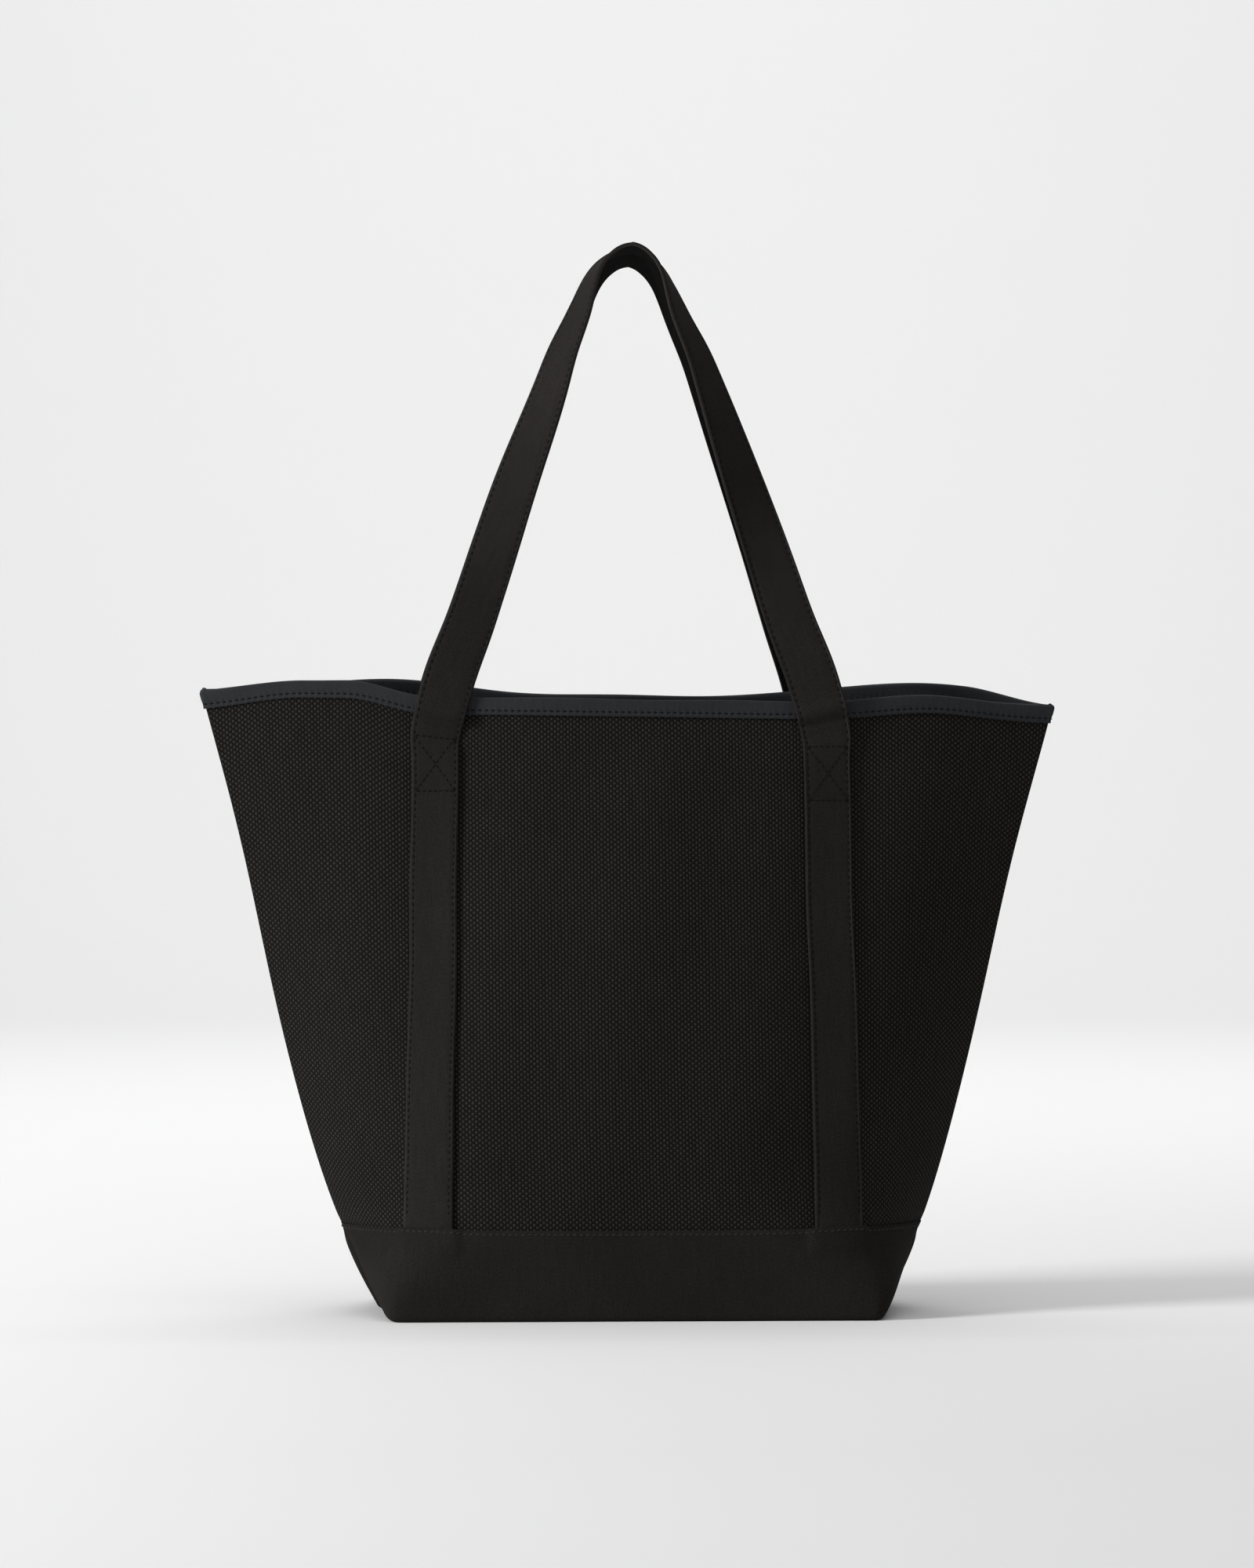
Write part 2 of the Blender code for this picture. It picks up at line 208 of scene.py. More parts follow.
def rim_rise(across, side):
    """How far the rim stands above or below its mean height: it dips where a strap pulls it."""
    if side < 0:
        level = -0.0040 - 0.013 * across
        left = bump(-0.205, 0.052, np.minimum(across, -0.205)) * (1 - smooth(-0.180, -0.126, across))
        return level + 0.0096 * left + 0.0052 * bump(0.19, 0.045, across)
    level = -0.0005 - 0.012 * across - 0.0052 * smooth(0.215, 0.272, across)
    return level + 0.0085 * bump(-0.155, 0.060, across) + 0.0100 * bump(0.180, 0.072, across)


def slack(across, height, side):
    """How far the canvas stands proud of the even shape: soft waves that die away at the foot."""
    upper = smooth(0.05, 0.30, height)
    middle = smooth(0.03, 0.12, height) * (1 - smooth(0.33, 0.39, height))
    out = 0.0035 * middle * bump(0.0, 0.075, across)
    out = out - 0.0018 * middle * (bump(0.122, 0.024, across) + bump(-0.122, 0.024, across))
    out = out + 0.0011 * upper * np.sin(across * 31.0 + height * 9.0 + 0.8 * side)
    out = out + 0.0008 * middle * np.sin(across * 74.0 - height * 13.0 + 1.7 * side)
    out = out + 0.0009 * upper * np.sin(across * 19.0 - height * 27.0 + 2.1)
    return out


FOOT_ROWS = 5               # rows of the rounding under the wall
turns = np.linspace(0, 0.5 * np.pi, FOOT_ROWS + 1)[:-1]
levels = [(FOOT + ROUND * (1 - math.cos(t)), ROUND * (1 - math.sin(t))) for t in turns]
levels += [(h, 0.0) for h in np.linspace(FOOT + ROUND, CANVAS_TOP, HEIGHTS)]
level_heights = np.array([h for h, inset in levels])
quarter_girths = []
wall_points = {}
for side in (-1, 1):
    rows = []
    for height, inset in levels:
        plan, quarter = plan_curve(height, inset)
        if side < 0:
            quarter_girths.append(quarter)
        columns = plan.shape[0]
        place = np.abs(np.arange(columns) - (columns - 1) / 2) / SHARES
        loose = slack(plan[:, 0], height, side) * (1 - np.clip(place, 0, 1) ** 6)
        depth = plan[:, 1] - loose
        raised = height + rim_rise(plan[:, 0], side) * smooth(0.18, RIM, height)
        # The band's own side seam pulls both faces in, and a roll stands beside it at the back.
        from_seam = np.maximum(1 - place, 0) * quarter
        pulled = 1 - smooth(0.040, BAND_TOP + 0.006, height)
        roll = -0.0026 * bump(0, 0.010 if side < 0 else 0.004, from_seam)
        if side > 0:
            roll = roll + 0.0032 * bump(0.0090, 0.0060, from_seam)
        sway = 0.0045 * math.exp(-height / 0.07) - 0.0038 * math.exp(-height / 0.014)
        across = plan[:, 0] + np.sign(plan[:, 0]) * roll * pulled + sway
        rows.append(np.stack([across, -side * depth, raised], axis=1))
    wall_points[side] = np.array(rows)
quarter_girths = np.array(quarter_girths)
COLUMNS = wall_points[-1].shape[1]
MIDDLE = (COLUMNS - 1) / 2
level_numbers = np.arange(len(levels))


def wall_normals(points, side):
    """Outward direction at every point of the wall shape."""
    along = np.gradient(points, axis=1)
    upward = np.gradient(points, axis=0)
    normal = np.cross(along, upward) * -side
    return normal / np.linalg.norm(normal, axis=2, keepdims=True)


wall_facing = {side: wall_normals(wall_points[side], side) for side in (-1, 1)}


def sample(table, row, column):
    """Value of a table of the wall at fractional rows and columns."""
    row = np.clip(row, 0, table.shape[0] - 1.0001)
    column = np.clip(column, 0, table.shape[1] - 1.0001)
    i, j = np.floor(row).astype(int), np.floor(column).astype(int)
    a, b = (row - i)[..., None], (column - j)[..., None]
    low = table[i, j] * (1 - b) + table[i, j + 1] * b
    high = table[i + 1, j] * (1 - b) + table[i + 1, j + 1] * b
    return low * (1 - a) + high * a


def row_of(height):
    """Row of the wall shape at a height above the floor, before the rim rises and falls."""
    return np.interp(height, level_heights, level_numbers)


def on_wall(side, row, column, out=0.0, above=0.0):
    """Points off the outer face of the canvas, by a distance outwards and one upwards."""
    row, column, out, above = np.broadcast_arrays(
        np.asarray(row, float), np.asarray(column, float), np.asarray(out, float), np.asarray(above, float))
    points = sample(wall_points[side], row, column)
    facing = sample(wall_facing[side], row, column)
    facing = facing / np.linalg.norm(facing, axis=-1, keepdims=True)
    lifted = points + facing * out[..., None]
    lifted[..., 2] += above
    return lifted


def column_at(side, across, height):
    """Column of the wall shape that a distance across from the middle falls on."""
    line = sample(wall_points[side], np.full(COLUMNS, row_of(height)), np.arange(COLUMNS, dtype=float))
    inner = slice(int(MIDDLE - SHARES), int(MIDDLE + SHARES) + 1)
    return np.interp(across, line[inner, 0], np.arange(COLUMNS)[inner])


def cloth_length(row, column):
    """Distance along the cloth from the middle of its panel, in metres."""
    quarter = np.interp(row, level_numbers, quarter_girths)
    place = (column - MIDDLE) / SHARES
    return np.clip(place, -1, 1) * quarter + np.sign(place) * np.maximum(np.abs(place) - 1, 0) * 0.1


def edit_all(*operators):
    """Run mesh operators on the whole of the active piece."""
    bpy.ops.object.mode_set(mode="EDIT")
    bpy.ops.mesh.select_all(action="SELECT")
    for operator, settings in operators:
        operator(**settings)
    bpy.ops.object.mode_set(mode="OBJECT")


def face_out(piece, face, outward):
    """Turn a piece's faces over if one of them looks the wrong way."""
    if np.dot(piece.data.polygons[face].normal, outward) < 0:
        edit_all((bpy.ops.mesh.flip_normals, {}))


def lay_cloth(name, points, cloth, outward=None):
    """A grid of cloth put where it is sewn: points gives its places, cloth its flat coordinates."""
    rows, columns = points.shape[:2]
    bpy.ops.object.select_all(action="DESELECT")
    bpy.ops.mesh.primitive_grid_add(x_subdivisions=columns - 1, y_subdivisions=rows - 1, size=1)
    piece = bpy.context.object
    piece.name = name
    piece.data.name = name
    mesh = piece.data
    mesh.vertices.foreach_set("co", points.reshape(-1, 3).astype(np.float32).ravel())
    corner = np.empty(len(mesh.loops), dtype=np.int32)
    mesh.loops.foreach_get("vertex_index", corner)
    mesh.uv_layers[0].uv.foreach_set("vector", cloth.reshape(-1, 2)[corner].astype(np.float32).ravel())
    edit_all((bpy.ops.mesh.remove_doubles, {"threshold": 0.000005}))
    mesh.update()
    if outward is not None:
        face_out(piece, rows // 2 * (columns - 1) + columns // 2, outward)
    bpy.ops.object.shade_smooth()
    return piece


def thicken(piece, thickness):
    """Give a laid cloth its thickness, inwards from the face that shows."""
    wall = piece.modifiers.new("thickness", "SOLIDIFY")
    wall.thickness = thickness
    wall.offset = -1.0
    wall.use_even_offset = False
    wall.use_quality_normals = True
    bpy.context.view_layer.objects.active = piece
    bpy.ops.object.modifier_apply(modifier="thickness")


def close_ends(piece):
    """Cap the open ends of a tube of cloth and turn its faces out."""
    bpy.ops.object.select_all(action="DESELECT")
    piece.select_set(True)
    bpy.context.view_layer.objects.active = piece
    edit_all(
        (bpy.ops.mesh.fill_holes, {"sides": 0}),
        (bpy.ops.mesh.normals_make_consistent, {"inside": False}),
    )


def math_node(tree, operation, first, second=None, third=None):
    """A Math node fed with numbers or with other nodes' outputs."""
    node = tree.nodes.new("ShaderNodeMath")
    node.operation = operation
    for index, value in enumerate((first, second, third)):
        if isinstance(value, (int, float)):
            node.inputs[index].default_value = value
        elif value is not None:
            tree.links.new(value, node.inputs[index])
    return node.outputs[0]


def weave_group():
    """Plain weave on cloth coordinates: rounded warp and weft threads that pass over and under."""
    tree = bpy.data.node_groups.new("plain_weave", "ShaderNodeTree")
    tree.interface.new_socket("Cloth", in_out="INPUT", socket_type="NodeSocketVector")
    for name in ("Warp Pitch", "Weft Pitch", "Unevenness"):
        tree.interface.new_socket(name, in_out="INPUT", socket_type="NodeSocketFloat")
    for name in ("Height", "Warp", "Slub"):
        tree.interface.new_socket(name, in_out="OUTPUT", socket_type="NodeSocketFloat")
    given = tree.nodes.new("NodeGroupInput")
    made = tree.nodes.new("NodeGroupOutput")
    wobble = tree.nodes.new("ShaderNodeTexNoise")
    wobble.inputs["Scale"].default_value = 90.0
    wobble.inputs["Detail"].default_value = 2.0
    tree.links.new(given.outputs["Cloth"], wobble.inputs["Vector"])
    drift = math_node(tree, "SUBTRACT", wobble.outputs["Fac"], 0.5)
    drift = math_node(tree, "MULTIPLY", drift, given.outputs["Unevenness"])
    split = tree.nodes.new("ShaderNodeSeparateXYZ")
    tree.links.new(given.outputs["Cloth"], split.inputs[0])
    warp = math_node(tree, "DIVIDE", split.outputs["X"], given.outputs["Warp Pitch"])
    warp = math_node(tree, "ADD", warp, drift)
    weft = math_node(tree, "DIVIDE", split.outputs["Y"], given.outputs["Weft Pitch"])
    weft = math_node(tree, "ADD", weft, drift)
    warp_number = math_node(tree, "FLOOR", warp)
    weft_number = math_node(tree, "FLOOR", weft)
    warp_side = math_node(tree, "SINE", math_node(tree, "MULTIPLY", math_node(tree, "FRACT", warp), math.pi))
    weft_side = math_node(tree, "SINE", math_node(tree, "MULTIPLY", math_node(tree, "FRACT", weft), math.pi))
    over = math_node(tree, "MULTIPLY", math_node(tree, "ADD", weft, warp_number), math.pi)
    warp_lift = math_node(tree, "MULTIPLY_ADD", math_node(tree, "SINE", over), 0.5, 0.5)
    under = math_node(tree, "MULTIPLY", math_node(tree, "ADD", warp, weft_number), math.pi)
    weft_lift = math_node(tree, "MULTIPLY_ADD", math_node(tree, "SINE", under), -0.42, 0.42)
    warp_top = math_node(tree, "MULTIPLY", math_node(tree, "POWER", warp_side, 0.6), warp_lift)
    weft_top = math_node(tree, "MULTIPLY", math_node(tree, "POWER", weft_side, 0.6), weft_lift)
    height = math_node(tree, "MAXIMUM", warp_top, weft_top)
    tree.links.new(height, made.inputs["Height"])
    tree.links.new(warp_top, made.inputs["Warp"])
    slub = tree.nodes.new("ShaderNodeTexNoise")
    slub.inputs["Scale"].default_value = 1.0
    slub.inputs["Detail"].default_value = 3.0
    stretch = tree.nodes.new("ShaderNodeMapping")
    stretch.inputs["Scale"].default_value = (420.0, 60.0, 1.0)
    tree.links.new(given.outputs["Cloth"], stretch.inputs["Vector"])
    tree.links.new(stretch.outputs["Vector"], slub.inputs["Vector"])
    tree.links.new(slub.outputs["Fac"], made.inputs["Slub"])
    return tree


plain_weave = weave_group()


def cloth_material(name, dark, light, warp_pitch, weft_pitch, relief, roughness, unevenness=0.25, shade=0.35,
                   height_power=1.0, speckle=0.5, fold_every=0.0, gloss=0.12, sheen=0.04):
    """Woven cloth: painted shade in the gaps, and a painted highlight on the tops of the threads.

    It is faded in patches by shade, and flecked with lint by speckle. A flattened tube of cloth,
    fold_every wide, gets a painted highlight along its folds and painted shade on the side that faces in.
    """
    material = bpy.data.materials.new(name)
    material.use_nodes = True
    tree = material.node_tree
    shader = tree.nodes["Principled BSDF"]
    shader.inputs["Roughness"].default_value = roughness
    shader.inputs["Specular IOR Level"].default_value = gloss
    shader.inputs["Sheen Weight"].default_value = sheen
    shader.inputs["Sheen Roughness"].default_value = 0.5
    cloth = tree.nodes.new("ShaderNodeUVMap")
    cloth.uv_map = "UVMap"
    weave = tree.nodes.new("ShaderNodeGroup")
    weave.node_tree = plain_weave
    tree.links.new(cloth.outputs["UV"], weave.inputs["Cloth"])
    weave.inputs["Warp Pitch"].default_value = warp_pitch
    weave.inputs["Weft Pitch"].default_value = weft_pitch
    weave.inputs["Unevenness"].default_value = unevenness
    # Painted highlight and shade: the colour is lighter on the tops of the threads and darker in the gaps
    # between them.
    seen = math_node(tree, "MULTIPLY", weave.outputs["Height"], 0.35)
    seen = math_node(tree, "MAXIMUM", seen, weave.outputs["Warp"])
    top = math_node(tree, "POWER", seen, height_power)
    varied = math_node(tree, "MULTIPLY_ADD", weave.outputs["Slub"], 0.9, 0.55)
    top = math_node(tree, "MULTIPLY", top, varied)
    mix = tree.nodes.new("ShaderNodeMix")
    mix.data_type = "RGBA"
    mix.inputs["A"].default_value = (*dark, 1)
    mix.inputs["B"].default_value = (*light, 1)
    tree.links.new(top, mix.inputs["Factor"])
    fade = tree.nodes.new("ShaderNodeTexNoise")
    fade.inputs["Scale"].default_value = 14.0
    fade.inputs["Detail"].default_value = 4.0
    tree.links.new(cloth.outputs["UV"], fade.inputs["Vector"])
    tone_and_painted_light = math_node(tree, "MULTIPLY_ADD", fade.outputs["Fac"], shade, 1 - shade / 2)
    fluff = tree.nodes.new("ShaderNodeTexNoise")
    fluff.inputs["Scale"].default_value = 800.0
    fluff.inputs["Detail"].default_value = 1.0
    tree.links.new(cloth.outputs["UV"], fluff.inputs["Vector"])
    flecked = math_node(tree, "MULTIPLY_ADD", fluff.outputs["Fac"], speckle, 1 - speckle / 2)
    tone_and_painted_light = math_node(tree, "MULTIPLY", tone_and_painted_light, flecked)
    if fold_every:
        split = tree.nodes.new("ShaderNodeSeparateXYZ")
        tree.links.new(cloth.outputs["UV"], split.inputs[0])
        turn = math_node(tree, "MULTIPLY", split.outputs["X"], math.pi / fold_every)
        turn = math_node(tree, "SINE", turn)
        # Painted highlight: the colour is made paler along each fold of the tube, where light catches the
        # folded edges.
        near = math_node(tree, "SUBTRACT", 1.0, math_node(tree, "ABSOLUTE", turn))
        fold_highlight = math_node(tree, "MULTIPLY_ADD", math_node(tree, "POWER", near, 14.0), 0.9, 1.0)
        tone_and_painted_light = math_node(tree, "MULTIPLY", tone_and_painted_light, fold_highlight)
        # Painted shade: the side of the tube that faces in, the underside of the handle loops, is darkened
        # to about a third.
        inner_face_painted_shade = math_node(tree, "LESS_THAN", turn, -0.05)
        tone_and_painted_light = math_node(tree, "MULTIPLY", tone_and_painted_light, math_node(tree, "MULTIPLY_ADD", inner_face_painted_shade, -0.68, 1.0))
    tint = tree.nodes.new("ShaderNodeMix")
    tint.data_type = "RGBA"
    tint.blend_type = "MULTIPLY"
    tint.inputs["Factor"].default_value = 1.0
    tree.links.new(mix.outputs["Result"], tint.inputs["A"])
    tree.links.new(tone_and_painted_light, tint.inputs["B"])
    tree.links.new(tint.outputs["Result"], shader.inputs["Base Color"])
    relief_node = tree.nodes.new("ShaderNodeBump")
    relief_node.inputs["Strength"].default_value = 0.8
    relief_node.inputs["Distance"].default_value = relief
    tree.links.new(weave.outputs["Height"], relief_node.inputs["Height"])
    tree.links.new(relief_node.outputs["Normal"], shader.inputs["Normal"])
    return material


duck = cloth_material(
    "black_duck", dark=(0.0026, 0.0024, 0.0022), light=(0.0370, 0.0340, 0.0314),
    warp_pitch=0.00205, weft_pitch=0.00163, relief=0.0005, roughness=0.95,
    unevenness=0.5, height_power=1.4, gloss=0.06, sheen=0.01)


def finish_cloth(piece, material, slot, body, *nodes):
    """Give a piece its cloth, the body that carries it and the nodes that it stands for."""
    piece.data.materials.clear()
    piece.data.materials.append(material)
    if body:
        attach(piece, body)
    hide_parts(*nodes)


panel_rows = row_of(np.linspace(FOOT + ROUND, CANVAS_TOP, 80))
panel_rows = np.concatenate([np.arange(0, FOOT_ROWS, dtype=float), panel_rows])
panel_columns = np.unique(np.concatenate([
    np.arange(0, MIDDLE - SHARES + 4),
    np.arange(MIDDLE - SHARES + 4, MIDDLE + SHARES - 4, 1.6),
    np.arange(MIDDLE + SHARES - 4, COLUMNS),
]))
for side, name in ((-1, "front_canvas"), (1, "back_canvas")):
    rows, columns = np.meshgrid(panel_rows, panel_columns, indexing="ij")
    points = on_wall(side, rows, columns)
    flat = np.stack([cloth_length(rows, columns), np.interp(rows, level_numbers, level_heights)], axis=-1)
    panel = lay_cloth(name, points, flat, (0, side, 0))
    thicken(panel, CANVAS)
    finish_cloth(panel, duck, "body_canvas", "bag", "front_panel" if side < 0 else "back_panel")

# ---- Base ---------------------------------------------------------------------------------
# The inside floor of the bag, cut from the same duck. It is boxed to the walls with a seam across
# each end and lies loose on the band, with a slight ripple.

SPINE_HALF = 0.07           # the rings of the floor close on a line this far each way
front_loop = wall_points[-1][0, int(MIDDLE - SHARES):int(MIDDLE + SHARES) + 1]
floor_edge = np.concatenate([front_loop, (front_loop * [1, -1, 1])[::-1], front_loop[:1]])[::2]
spine = np.clip(floor_edge, [-SPINE_HALF, 0, 0], [SPINE_HALF, 0, 0])
inner_edge = floor_edge * [0.996, 0.996, 1] + [0, 0, CANVAS + 0.0001]
middle = spine + [0, 0, FOOT + CANVAS + 0.0001]
inward = np.linspace(0, 1, 16)[:, None]
floor_points = inner_edge[None] * (1 - inward[..., None]) + middle[None] * inward[..., None]
ripple = np.sin(floor_points[..., 0] * 40) * np.sin(floor_points[..., 1] * 55 + 1)
floor_points[..., 2] += np.abs(0.0007 * ripple * inward)
base = lay_cloth("base_canvas", floor_points, floor_points[..., :2], (0, 0, 1))
thicken(base, CANVAS)
finish_cloth(base, duck, "body_canvas", "bag", "base_panel")

# ---- Foot band ----------------------------------------------------------------------------
# A smoother, finer canvas sewn over the foot: it runs under the base and up each face, with its
# top edge turned in and stitched down over the ends of the straps. It has its own side seams.

BAND_CLOTH = 0.0011
STRAP_TUCK = 0.010          # of each strap under the band's top edge
strap_low, strap_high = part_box("front_right_strap")
STRAP_MIDDLE = (strap_low[0] + strap_high[0]) / 2
STRAP_WIDTH = 0.030
STRAP_CLOTH = 0.0026
FOOT_SPLAY = 0.0041         # a leg's middle is this much further out at its foot
BAND_SPOTS = 181            # columns of the band round one face

band_canvas = cloth_material(
    "smooth_canvas", dark=(0.0088, 0.0080, 0.0074), light=(0.0246, 0.0225, 0.0207),
    warp_pitch=0.00062, weft_pitch=0.00052, relief=0.00012, roughness=1.0,
    shade=0.6, speckle=0.9, gloss=0.05, sheen=0.0)


def band_lift(across, height):
    """How far the band stands off the canvas: more over the ends of the straps."""
    off_strap = np.abs(np.abs(across) - STRAP_MIDDLE - FOOT_SPLAY) - STRAP_WIDTH / 2
    over = 1 - smooth(0.0, 0.006, off_strap)
    strap_end = BAND_TOP - STRAP_TUCK
    return 0.0015 + STRAP_CLOTH * over * smooth(strap_end - 0.010, strap_end + 0.002, height)


band_heights = np.linspace(FOOT + ROUND, BAND_TOP, 26)
band_rows = np.concatenate([np.arange(0, FOOT_ROWS, dtype=float), row_of(band_heights)])
half_columns = np.linspace(MIDDLE - SHARES, MIDDLE + SHARES, BAND_SPOTS)
halves = []
flats = []
for side in (-1, 1):
    columns = half_columns if side < 0 else half_columns[::-1]
    rows, columns = np.meshgrid(band_rows, columns, indexing="ij")
    across = on_wall(side, rows, columns)[..., 0]
    height = np.interp(rows, level_numbers, level_heights)
    place = np.abs(columns - MIDDLE) / SHARES
    out = band_lift(across, height)
    along_seam = (1 - place) * np.interp(rows, level_numbers, quarter_girths)
    out = out - 0.0012 * bump(0.0, 0.0022, along_seam)
    halves.append(on_wall(side, rows, columns, out))
    flats.append(np.stack([cloth_length(rows, columns), height], axis=-1))
band_points = np.concatenate([halves[0], halves[1], halves[0][:, :1]], axis=1)
band_flat = np.concatenate([flats[0], flats[1], flats[0][:, :1]], axis=1)
edge = band_points[0]
under_spine = np.clip(edge, [-SPINE_HALF, 0, 0], [SPINE_HALF, 0, 0])
inward = np.linspace(0, 1, 14)[:, None, None]
under = edge[None] * (1 - inward) + under_spine[None] * inward
under[..., 2] = edge[:, 2].min()
under[0] = edge
band_points = np.concatenate([under[::-1], band_points])
band_flat = np.concatenate([under[::-1][..., :2], band_flat])
band = lay_cloth("foot_band", band_points, band_flat)
edit_all((bpy.ops.mesh.normals_make_consistent, {"inside": False}))
thicken(band, BAND_CLOTH)
finish_cloth(band, band_canvas, "band_canvas", "bag", "bottom_band")

# ---- Rim binding --------------------------------------------------------------------------
# Cotton twill tape folded over the raw top edge of each panel and sewn through near its lower
# edge. It is cooler and greyer than the canvas, and puckers a little at every stitch.

TAPE = 0.0007               # thickness of the tape
TAPE_PROUD = 0.0014         # of the canvas, to the outside of the tape
TAPE_DROP = 0.0098          # depth of each leg of the tape
TAPE_SEAM = 0.0070          # of the stitches, below the rim
RIM_STITCH = 0.0041         # from one stitch to the next
LEG_ROWS = 10
FOLD_ROWS = 7
TAPE_SPOTS = 621            # columns of the tape along the rim

tape_twill = cloth_material(
    "binding_twill", dark=(0.0112, 0.0121, 0.0132), light=(0.0350, 0.0368, 0.0398),
    warp_pitch=0.00085, weft_pitch=0.00030, relief=0.00015, roughness=0.8, shade=0.3)

top_row = row_of(CANVAS_TOP)
leg_drops = np.linspace(TAPE_DROP, 0.0004, LEG_ROWS)
fold = np.linspace(0, np.pi, FOLD_ROWS + 2)[1:-1]
fold_middle = -CANVAS / 2
fold_radius = TAPE_PROUD + CANVAS / 2
tape_drops = np.concatenate([leg_drops, np.zeros(FOLD_ROWS), leg_drops[::-1]])
tape_rows = row_of(CANVAS_TOP - tape_drops)
tape_out = np.concatenate([
    np.full(LEG_ROWS, TAPE_PROUD),
    fold_middle + fold_radius * np.cos(fold),
    np.full(LEG_ROWS, -CANVAS - TAPE_PROUD),
])
tape_above = np.concatenate([np.zeros(LEG_ROWS), 0.0016 * np.sin(fold), np.zeros(LEG_ROWS)])
tape_sign = np.concatenate([np.ones(LEG_ROWS), np.cos(fold), -np.ones(LEG_ROWS)])
tape_columns = np.linspace(2, COLUMNS - 3, TAPE_SPOTS)
tape_run = cloth_length(np.full(TAPE_SPOTS, top_row), tape_columns)
for side, name, node in (
    (-1, "front_rim_tape", "front_rim_binding"),
    (1, "back_rim_tape", "back_rim_binding"),
):
    rows, columns = np.meshgrid(tape_rows, tape_columns, indexing="ij")
    sewn = bump(TAPE_SEAM, 0.0020, tape_drops)[:, None]
    pucker = sewn * (0.00018 * np.sin(tape_run * 2 * math.pi / RIM_STITCH)[None] - 0.00022)
    soft = 0.00025 * np.sin(tape_run * 83.0 + side)[None] * (1 - sewn)
    out = tape_out[:, None] + tape_sign[:, None] * (pucker + soft)
    wander = 0.00035 * np.sin(tape_run * 57.0 + 2 * side)
    above = tape_above[:, None] + wander[None] * (tape_drops == 0)[:, None]
    points = on_wall(side, rows, columns, out, above)
    along = np.cumsum(np.concatenate([[0], np.hypot(np.diff(tape_out), np.diff(tape_above - tape_drops))]))
    flat = np.stack(np.broadcast_arrays(tape_run[None], along[:, None]), axis=-1)
    tape = lay_cloth(name, points, flat)
    face_out(tape, 3 * (TAPE_SPOTS - 1) + TAPE_SPOTS // 2, (0, side, 0))
    thicken(tape, TAPE)
    finish_cloth(tape, tape_twill, "binding_tape", "bag", node)

# ---- Seam and corner bindings -------------------------------------------------------------
# Inside, the raw edges of both side seams, and of the seam across each boxed corner, are closed
# in the same tape, folded over them and sewn.


def folded_tape(name, runs, closing, spread, facing, node, flat_size):
    """Tape folded over an edge: runs give its open edge, closing the way to the fold, spread across.

    Its thickness lies inside this surface where facing is 1, and outside it where facing is -1.
    """
    profile = [(0.0, 1.0), (0.3, 1.0), (0.6, 1.0), (0.85, 1.0), (0.95, 0.82), (1.0, 0.4),
               (1.0, -0.4), (0.95, -0.82), (0.85, -1.0), (0.6, -1.0), (0.3, -1.0), (0.0, -1.0)]
    reach = np.array([place[0] for place in profile])
    width = np.array([place[1] for place in profile])
    points = runs[:, None] + closing[:, None] * reach[None, :, None] + spread[:, None] * width[None, :, None]
    run = np.linspace(0, flat_size[0], len(runs))
    flat = np.stack(np.broadcast_arrays(run[:, None], reach[None] * width[None] * flat_size[1] / 2), axis=-1)
    tape = lay_cloth(name, points, flat)
    edit_all((bpy.ops.mesh.normals_make_consistent, {"inside": False}))
    halfway, around = len(runs) // 2, len(profile) - 1
    face_out(tape, halfway * around + around // 2, closing[halfway] * facing)
    thicken(tape, TAPE)
    finish_cloth(tape, tape_twill, "binding_tape", "bag", node)


seam_low, seam_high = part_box("right_seam_binding")
corner_low, corner_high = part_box("right_corner_binding")
for hand, label in ((-1, "left"), (1, "right")):
    heights = np.linspace(seam_low[2], seam_high[2] + 0.0045, 70)
    inner_column = 0 if hand < 0 else COLUMNS - 1
    touch = on_wall(-1, row_of(heights), np.full(len(heights), float(inner_column)))
    runs = np.stack([touch[:, 0] + hand * 0.0030, 0 * heights, heights], axis=1)
    ripple = 1 + 0.12 * np.sin(heights * 140 + hand)
    closing = np.stack([0 * heights - hand * 0.0046, 0.0004 * np.sin(heights * 60), 0 * heights], axis=1)
    spread = np.stack([0 * heights, 0.0024 * ripple, 0 * heights], axis=1)
    folded_tape(label + "_seam_tape", runs, closing, spread, -1, label + "_seam_binding", (0.345, 0.020))
    cross = np.linspace(corner_low[1], corner_high[1], 40)
    middle_x = hand * (corner_low[0] + corner_high[0]) / 2
    runs = np.stack([middle_x + 0 * cross, cross, 0 * cross + corner_low[2] + 0.0006], axis=1)
    closing = np.stack([-hand * 0.0012 + 0 * cross, 0 * cross, 0 * cross + 0.0092], axis=1)
    spread = np.stack([0.0016 + 0.0002 * np.sin(cross * 160), 0 * cross, 0 * cross], axis=1)
    folded_tape(label + "_corner_tape", runs, closing, spread, 1, label + "_corner_binding", (0.12, 0.020))

# ---- Straps and handles -------------------------------------------------------------------
# One length of folded canvas runs up each face, above the rim as the handle loop, and back down.
# The legs are sewn to the panel as far as the boxed crosses, with their ends under the band. The
# loop turns as it rises, until it lies flat on top.

